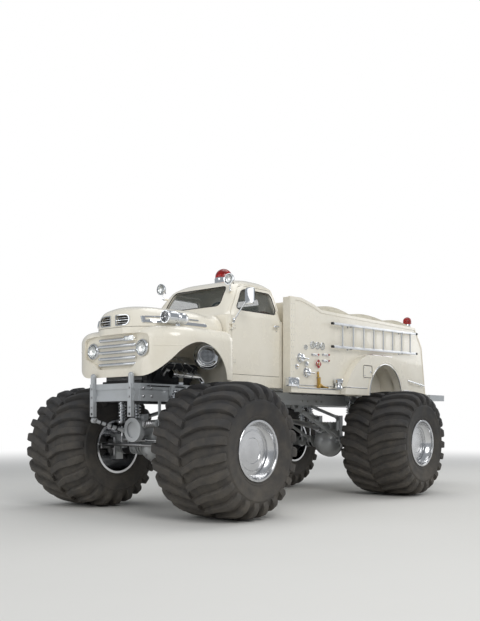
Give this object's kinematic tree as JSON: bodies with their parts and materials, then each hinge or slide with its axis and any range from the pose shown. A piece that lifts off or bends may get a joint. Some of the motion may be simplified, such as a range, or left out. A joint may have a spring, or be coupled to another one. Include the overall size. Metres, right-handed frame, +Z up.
{
  "type": "monster truck with a vintage fire engine body",
  "caption": "Vintage fire engine pumper body on a raised tube-railed frame with locked axles and huge chevron-lugged tyres; steering, doors, hood and wheels move.",
  "frame": {"origin": "on the ground, at the middle of the truck's length and width", "axes": "+X forward, +Y to the driver's left, +Z up"},
  "size_m": [7.3691, 3.642, 3.4163],
  "materials": {
    "body_enamel": "glossy ivory enamel",
    "chassis_paint": "silver-grey gloss paint",
    "running_gear": "dark grey satin paint",
    "bare_steel": "machined steel",
    "wheel_alloy": "polished aluminium",
    "tyre": "matt black rubber",
    "chrome": "bright chrome",
    "engine_iron": "painted cast iron",
    "glass": "clear glass",
    "lens": "fluted clear lens",
    "red_lens": "red lens",
    "cover_cloth": "canvas cover",
    "seat_hide": "brown hide",
    "black_plastic": "black plastic"
  },
  "bodies": {
    "chassis": {"air_cleaner": "chrome", "beacons": "red_lens", "bed": "body_enamel", "bed_cover": "cover_cloth", "bed_ends": "body_enamel", "bed_floor": "body_enamel", "bench_seat": "seat_hide", "cab": "body_enamel", "cab_glass": "glass", "dashboard": "body_enamel", "drive_shafts": "bare_steel", "engine": "engine_iron", "exhaust": "chrome", "frame_rails": "chassis_paint", "front_axle": "chassis_paint", "front_clip": "body_enamel", "front_crossbar": "chassis_paint", "grab_rails": "chrome", "grille": "chrome", "headlamps": "lens", "ladders": "wheel_alloy", "link_bars": "chassis_paint", "pump_fittings": "chrome", "radiator": "black_plastic", "rear_axle": "chassis_paint", "rear_fenders": "body_enamel", "rear_lamps": "red_lens", "shocks": "chrome", "siren": "chrome", "spot_lamps": "chrome", "steering_cylinder": "bare_steel", "steering_wheel": "black_plastic", "tailboard": "chassis_paint", "transfer_case": "running_gear", "wheel_wells": "body_enamel"},
    "left_steering": {"knuckle_left": "bare_steel"},
    "right_steering": {"knuckle_right": "bare_steel"},
    "track_rod": {"tie_rod": "bare_steel"},
    "ram_rod": {"steering_rod": "bare_steel"},
    "left_door": {"door_left": "body_enamel", "door_glass_left": "glass", "mirror_left": "chrome"},
    "right_door": {"door_right": "body_enamel", "door_glass_right": "glass"},
    "hood_lid": {"hood": "body_enamel", "hood_trim": "chrome"},
    "front_left_wheel": {"tyre_front_left": "tyre", "wheel_front_left": "wheel_alloy"},
    "front_right_wheel": {"tyre_front_right": "tyre", "wheel_front_right": "wheel_alloy"},
    "rear_left_wheel": {"tyre_rear_left": "tyre", "wheel_rear_left": "wheel_alloy"},
    "rear_right_wheel": {"tyre_rear_right": "tyre", "wheel_rear_right": "wheel_alloy"}
  },
  "joints": [
    {"name": "steer_left", "type": "hinge", "parent": "chassis", "child": "left_steering", "pos_m": [2.847, 0.8, 0.838], "axis": [0, 0, 1], "range_deg": [-22, 22]},
    {"name": "steer_right", "type": "hinge", "parent": "chassis", "child": "right_steering", "pos_m": [2.847, -0.8, 0.838], "axis": [0, 0, 1], "range_deg": [-22, 22]},
    {"name": "tie_rod_swing", "type": "hinge", "parent": "left_steering", "child": "track_rod", "pos_m": [3.087, 0.8, 0.878], "axis": [0, 0, 1], "range_deg": [-22, 22]},
    {"name": "ram_slide", "type": "slide", "parent": "chassis", "child": "ram_rod", "axis": [0, 1, 0], "range_m": [-0.0922, 0.0922]},
    {"name": "left_door_hinge", "type": "hinge", "parent": "chassis", "child": "left_door", "pos_m": [2.212, 0.82, 2.22], "axis": [0, 0, -1], "range_deg": [0, 65]},
    {"name": "right_door_hinge", "type": "hinge", "parent": "chassis", "child": "right_door", "pos_m": [2.212, -0.82, 2.22], "axis": [0, 0, 1], "range_deg": [0, 65]},
    {"name": "hood_hinge", "type": "hinge", "parent": "chassis", "child": "hood_lid", "pos_m": [2.243, 0, 2.654], "axis": [0, -1, 0], "range_deg": [0, 45]},
    {"name": "front_left_spin", "type": "hinge", "parent": "left_steering", "child": "front_left_wheel", "pos_m": [2.847, 1.2535, 0.838], "axis": [0, 1, 0], "continuous": true},
    {"name": "front_right_spin", "type": "hinge", "parent": "right_steering", "child": "front_right_wheel", "pos_m": [2.847, -1.2535, 0.838], "axis": [0, 1, 0], "continuous": true},
    {"name": "rear_left_spin", "type": "hinge", "parent": "chassis", "child": "rear_left_wheel", "pos_m": [-1.313, 1.2535, 0.838], "axis": [0, 1, 0], "continuous": true},
    {"name": "rear_right_spin", "type": "hinge", "parent": "chassis", "child": "rear_right_wheel", "pos_m": [-1.313, -1.2535, 0.838], "axis": [0, 1, 0], "continuous": true}
  ],
  "couplings": [
    {"joint": "steer_right", "follows": "steer_left", "ratio": 1},
    {"joint": "tie_rod_swing", "follows": "steer_left", "ratio": -1},
    {"joint": "ram_slide", "follows": "steer_left", "m_per_rad": 0.24}
  ]
}
